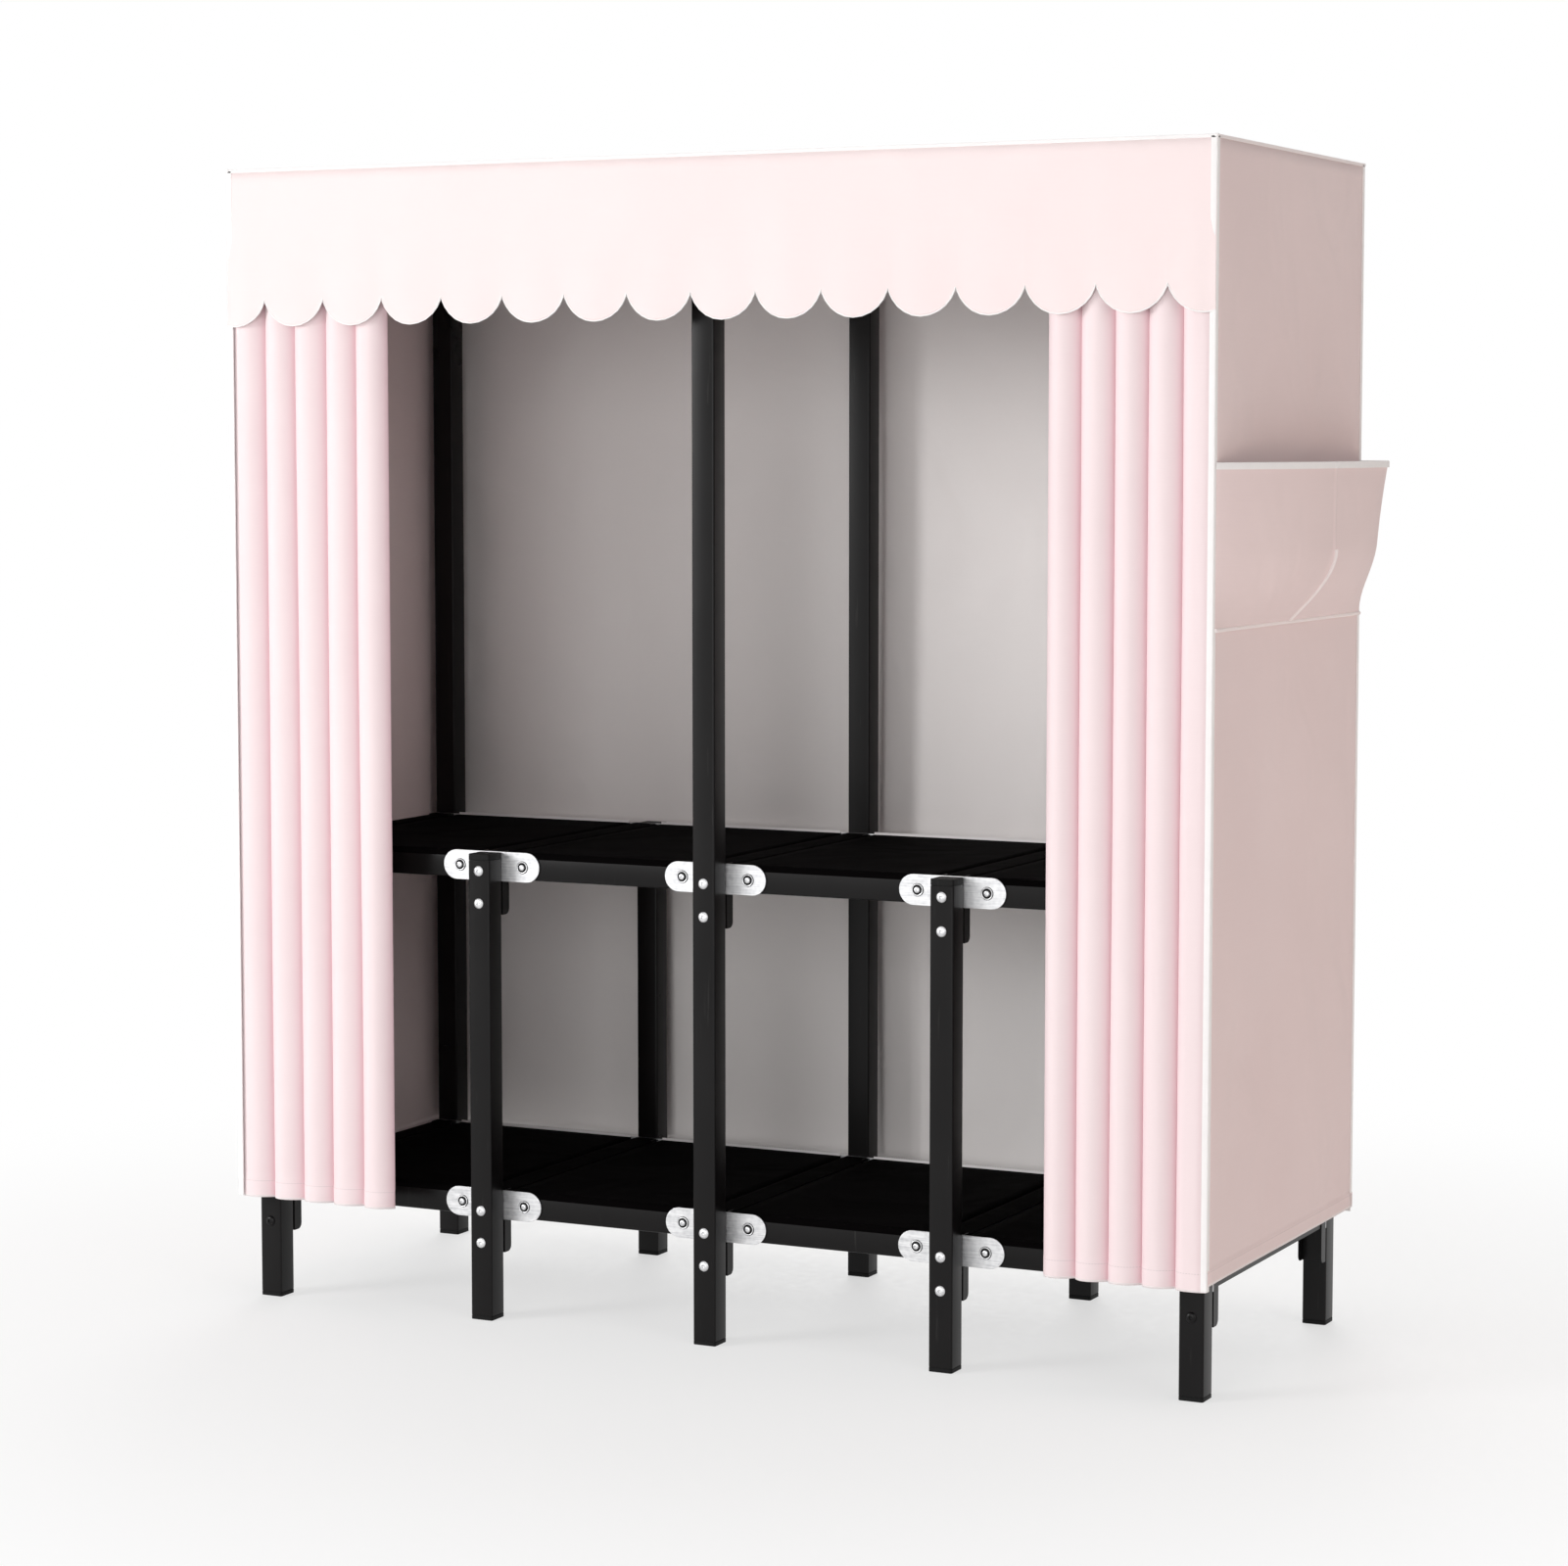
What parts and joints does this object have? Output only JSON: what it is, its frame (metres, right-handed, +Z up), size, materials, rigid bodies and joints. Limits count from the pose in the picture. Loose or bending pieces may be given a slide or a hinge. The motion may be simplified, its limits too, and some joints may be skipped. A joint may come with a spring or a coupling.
{
  "type": "portable fabric wardrobe",
  "caption": "Folding steel-frame wardrobe with two shelf levels, hanging rails and a cloth cover with scalloped valance, front curtains and a side pocket.",
  "frame": {"origin": "on the floor, under the middle of the whole object's bounding box, side pocket included", "axes": "+Z up, the open front with its curtains faces -Y, the side pocket is on +X"},
  "size_m": [1.6177, 0.622, 1.7],
  "materials": {
    "black_steel": "satin",
    "zinc_steel": "satin",
    "shelf_cloth": "matte",
    "cover_cloth": "matte",
    "valance_cloth": "matte",
    "curtain_cloth": "matte"
  },
  "bodies": {
    "centre_frame": {"front_post_2": "black_steel", "rear_post_2": "black_steel", "low_cross_member_2": "zinc_steel", "mid_cross_member_2": "zinc_steel", "top_cross_member_2": "zinc_steel", "roof_panel": "cover_cloth", "back_panel": "cover_cloth", "front_valance": "valance_cloth", "curtain_wire": "zinc_steel"},
    "right_inner_frame": {"front_post_3": "black_steel", "rear_post_3": "black_steel", "low_cross_member_3": "zinc_steel", "mid_cross_member_3": "zinc_steel"},
    "right_end_frame": {"front_post_4": "black_steel", "rear_post_4": "black_steel", "low_cross_member_4": "zinc_steel", "mid_cross_member_4": "zinc_steel", "top_cross_member_4": "zinc_steel", "right_side_panel": "cover_cloth", "side_pocket": "cover_cloth", "right_curtain": "curtain_cloth"},
    "left_inner_frame": {"front_post_1": "black_steel", "rear_post_1": "black_steel", "low_cross_member_1": "zinc_steel", "mid_cross_member_1": "zinc_steel"},
    "left_end_frame": {"front_post_0": "black_steel", "rear_post_0": "black_steel", "low_cross_member_0": "zinc_steel", "mid_cross_member_0": "zinc_steel", "top_cross_member_0": "zinc_steel", "left_side_panel": "cover_cloth", "left_curtain": "curtain_cloth"},
    "right_inner_low_shelf": {"low_shelf_frame_2": "black_steel", "low_shelf_cloth_2": "shelf_cloth"},
    "right_inner_mid_shelf": {"mid_shelf_frame_2": "black_steel", "mid_shelf_cloth_2": "shelf_cloth"},
    "right_inner_top_frame": {"top_frame_2": "black_steel", "hanging_rail_2": "zinc_steel"},
    "right_outer_low_shelf": {"low_shelf_frame_3": "black_steel", "low_shelf_cloth_3": "shelf_cloth"},
    "right_outer_mid_shelf": {"mid_shelf_frame_3": "black_steel", "mid_shelf_cloth_3": "shelf_cloth"},
    "right_outer_top_frame": {"top_frame_3": "black_steel", "hanging_rail_3": "zinc_steel"},
    "left_inner_low_shelf": {"low_shelf_frame_1": "black_steel", "low_shelf_cloth_1": "shelf_cloth"},
    "left_inner_mid_shelf": {"mid_shelf_frame_1": "black_steel", "mid_shelf_cloth_1": "shelf_cloth"},
    "left_inner_top_frame": {"top_frame_1": "black_steel", "hanging_rail_1": "zinc_steel"},
    "left_outer_low_shelf": {"low_shelf_frame_0": "black_steel", "low_shelf_cloth_0": "shelf_cloth"},
    "left_outer_mid_shelf": {"mid_shelf_frame_0": "black_steel", "mid_shelf_cloth_0": "shelf_cloth"},
    "left_outer_top_frame": {"top_frame_0": "black_steel", "hanging_rail_0": "zinc_steel"},
    "right_knuckle": {"top_knuckle_3": "zinc_steel"},
    "left_knuckle": {"top_knuckle_1": "zinc_steel"},
    "left_curtain_lead": {"left_curtain_runner": "zinc_steel"},
    "right_curtain_lead": {"right_curtain_runner": "zinc_steel"}
  },
  "joints": [
    {"name": "fold", "type": "hinge", "parent": "centre_frame", "child": "right_inner_low_shelf", "pos_m": [0.0221, 0.001, 0.168], "axis": [0, -1, 0], "range_deg": [0, 84], "deforming": ["roof_panel", "back_panel", "front_valance", "curtain_wire"]},
    {"name": "right_inner_frame_fold", "type": "hinge", "parent": "right_inner_low_shelf", "child": "right_inner_frame", "pos_m": [0.2881, 0.001, 0.168], "axis": [0, 1, 0], "range_deg": [0, 84]},
    {"name": "right_outer_low_fold", "type": "hinge", "parent": "right_inner_frame", "child": "right_outer_low_shelf", "pos_m": [0.3941, 0.001, 0.168], "axis": [0, 1, 0], "range_deg": [0, 84]},
    {"name": "right_end_frame_fold", "type": "hinge", "parent": "right_outer_low_shelf", "child": "right_end_frame", "pos_m": [0.6601, 0.001, 0.168], "axis": [0, -1, 0], "range_deg": [0, 84]},
    {"name": "right_inner_mid_fold", "type": "hinge", "parent": "centre_frame", "child": "right_inner_mid_shelf", "pos_m": [0.0221, 0.001, 0.674], "axis": [0, -1, 0], "range_deg": [0, 84]},
    {"name": "right_outer_mid_fold", "type": "hinge", "parent": "right_inner_frame", "child": "right_outer_mid_shelf", "pos_m": [0.3941, 0.001, 0.674], "axis": [0, 1, 0], "range_deg": [0, 84]},
    {"name": "right_inner_top_fold", "type": "hinge", "parent": "centre_frame", "child": "right_inner_top_frame", "pos_m": [0.0221, 0.001, 1.64], "axis": [0, 1, 0], "range_deg": [0, 84]},
    {"name": "right_knuckle_fold", "type": "hinge", "parent": "right_inner_top_frame", "child": "right_knuckle", "pos_m": [0.2881, 0.001, 1.64], "axis": [0, -1, 0], "range_deg": [0, 84]},
    {"name": "right_outer_top_fold", "type": "hinge", "parent": "right_knuckle", "child": "right_outer_top_frame", "pos_m": [0.3941, 0.001, 1.64], "axis": [0, -1, 0], "range_deg": [0, 84]},
    {"name": "left_inner_low_fold", "type": "hinge", "parent": "centre_frame", "child": "left_inner_low_shelf", "pos_m": [-0.0839, 0.001, 0.168], "axis": [0, 1, 0], "range_deg": [0, 84]},
    {"name": "left_inner_frame_fold", "type": "hinge", "parent": "left_inner_low_shelf", "child": "left_inner_frame", "pos_m": [-0.3499, 0.001, 0.168], "axis": [0, -1, 0], "range_deg": [0, 84]},
    {"name": "left_outer_low_fold", "type": "hinge", "parent": "left_inner_frame", "child": "left_outer_low_shelf", "pos_m": [-0.4559, 0.001, 0.168], "axis": [0, -1, 0], "range_deg": [0, 84]},
    {"name": "left_end_frame_fold", "type": "hinge", "parent": "left_outer_low_shelf", "child": "left_end_frame", "pos_m": [-0.7219, 0.001, 0.168], "axis": [0, 1, 0], "range_deg": [0, 84]},
    {"name": "left_inner_mid_fold", "type": "hinge", "parent": "centre_frame", "child": "left_inner_mid_shelf", "pos_m": [-0.0839, 0.001, 0.674], "axis": [0, 1, 0], "range_deg": [0, 84]},
    {"name": "left_outer_mid_fold", "type": "hinge", "parent": "left_inner_frame", "child": "left_outer_mid_shelf", "pos_m": [-0.4559, 0.001, 0.674], "axis": [0, -1, 0], "range_deg": [0, 84]},
    {"name": "left_inner_top_fold", "type": "hinge", "parent": "centre_frame", "child": "left_inner_top_frame", "pos_m": [-0.0839, 0.001, 1.64], "axis": [0, -1, 0], "range_deg": [0, 84]},
    {"name": "left_knuckle_fold", "type": "hinge", "parent": "left_inner_top_frame", "child": "left_knuckle", "pos_m": [-0.3499, 0.001, 1.64], "axis": [0, 1, 0], "range_deg": [0, 84]},
    {"name": "left_outer_top_fold", "type": "hinge", "parent": "left_knuckle", "child": "left_outer_top_frame", "pos_m": [-0.4559, 0.001, 1.64], "axis": [0, 1, 0], "range_deg": [0, 84]},
    {"name": "left_curtain_slide", "type": "slide", "parent": "left_end_frame", "child": "left_curtain_lead", "axis": [-1, 0, 0], "range_m": [-0.5, 0], "deforming": ["left_curtain"]},
    {"name": "right_curtain_slide", "type": "slide", "parent": "right_end_frame", "child": "right_curtain_lead", "axis": [1, 0, 0], "range_m": [-0.524, 0], "deforming": ["right_curtain"]}
  ],
  "couplings": [
    {"joint": "right_inner_frame_fold", "follows": "fold", "ratio": 1},
    {"joint": "right_outer_low_fold", "follows": "fold", "ratio": 1},
    {"joint": "right_end_frame_fold", "follows": "fold", "ratio": 1},
    {"joint": "right_inner_mid_fold", "follows": "fold", "ratio": 1},
    {"joint": "right_outer_mid_fold", "follows": "fold", "ratio": 1},
    {"joint": "right_inner_top_fold", "follows": "fold", "ratio": 1},
    {"joint": "right_knuckle_fold", "follows": "fold", "ratio": 1},
    {"joint": "right_outer_top_fold", "follows": "fold", "ratio": 1},
    {"joint": "left_inner_low_fold", "follows": "fold", "ratio": 1},
    {"joint": "left_inner_frame_fold", "follows": "fold", "ratio": 1},
    {"joint": "left_outer_low_fold", "follows": "fold", "ratio": 1},
    {"joint": "left_end_frame_fold", "follows": "fold", "ratio": 1},
    {"joint": "left_inner_mid_fold", "follows": "fold", "ratio": 1},
    {"joint": "left_outer_mid_fold", "follows": "fold", "ratio": 1},
    {"joint": "left_inner_top_fold", "follows": "fold", "ratio": 1},
    {"joint": "left_knuckle_fold", "follows": "fold", "ratio": 1},
    {"joint": "left_outer_top_fold", "follows": "fold", "ratio": 1}
  ]
}
